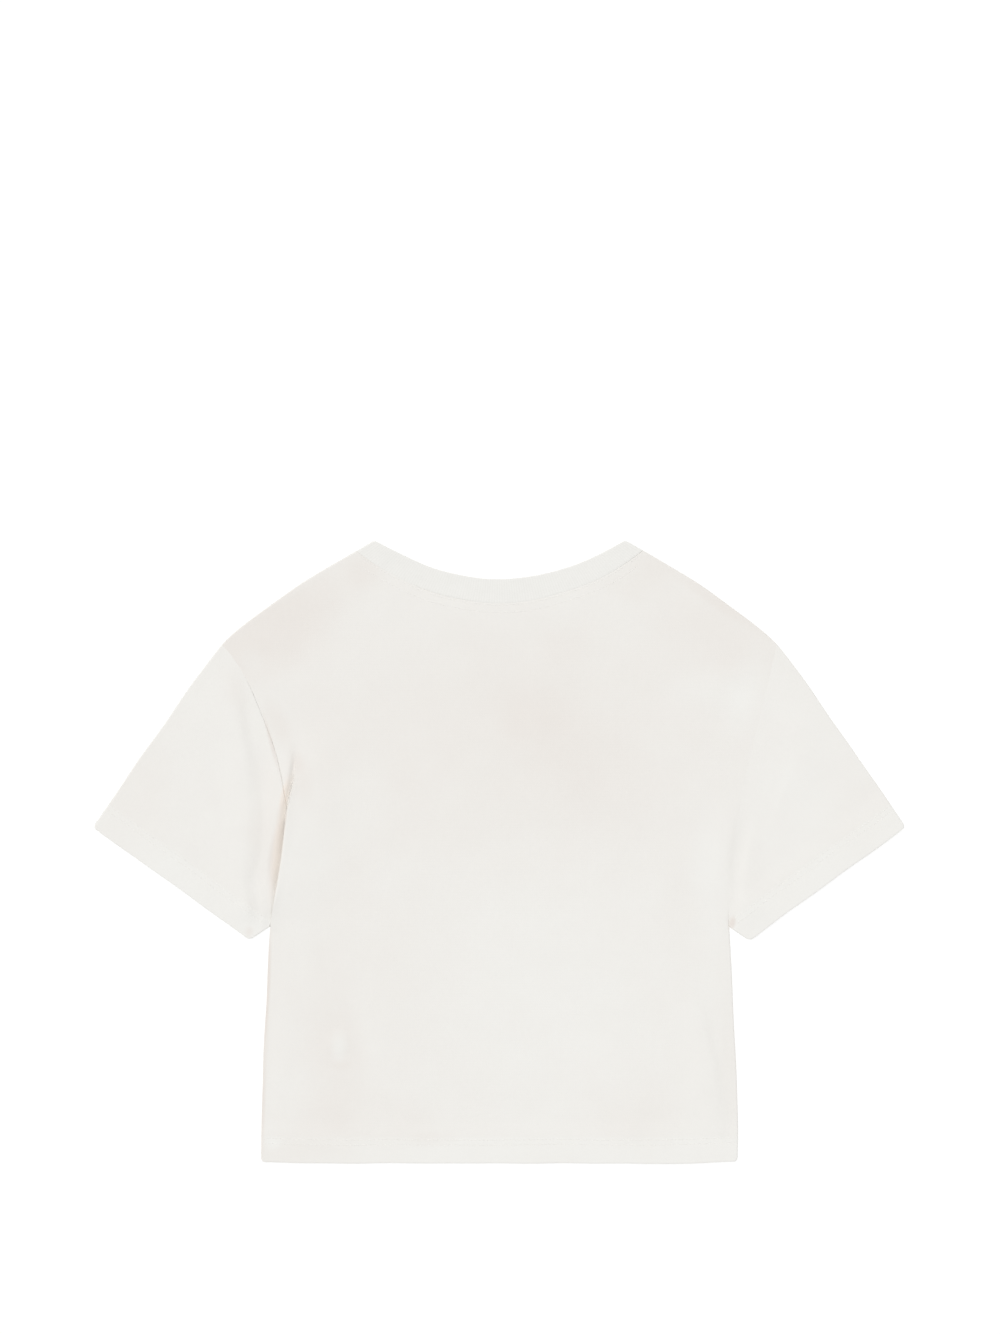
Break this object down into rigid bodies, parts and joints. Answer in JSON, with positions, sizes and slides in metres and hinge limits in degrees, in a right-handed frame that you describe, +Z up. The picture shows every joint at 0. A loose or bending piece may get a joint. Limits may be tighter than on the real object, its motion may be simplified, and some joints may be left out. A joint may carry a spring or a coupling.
{
  "type": "short-sleeved t-shirt laid flat",
  "caption": "Boxy cropped short-sleeved crew-neck t-shirt laid flat with its back upward, one side of the back folded over its sleeve at the underarm.",
  "frame": {"origin": "middle of the laid-out shirt's outline, on the surface that it lies on", "axes": "+Z up, away from the surface, with the back of the shirt on top; +Y from the hem to the neck; +X towards the wearer's right sleeve"},
  "size_m": [0.648, 0.498, 0.007],
  "materials": {
    "jersey": "fine cotton single jersey, matt, off-white",
    "rib_knit": "fine cotton 1x1 rib, matt, off-white"
  },
  "bodies": {
    "root": {"back": "jersey", "front": "jersey", "sleeve_left": "jersey", "sleeve_right": "jersey", "neck_rib": "rib_knit"}
  },
  "joints": []
}
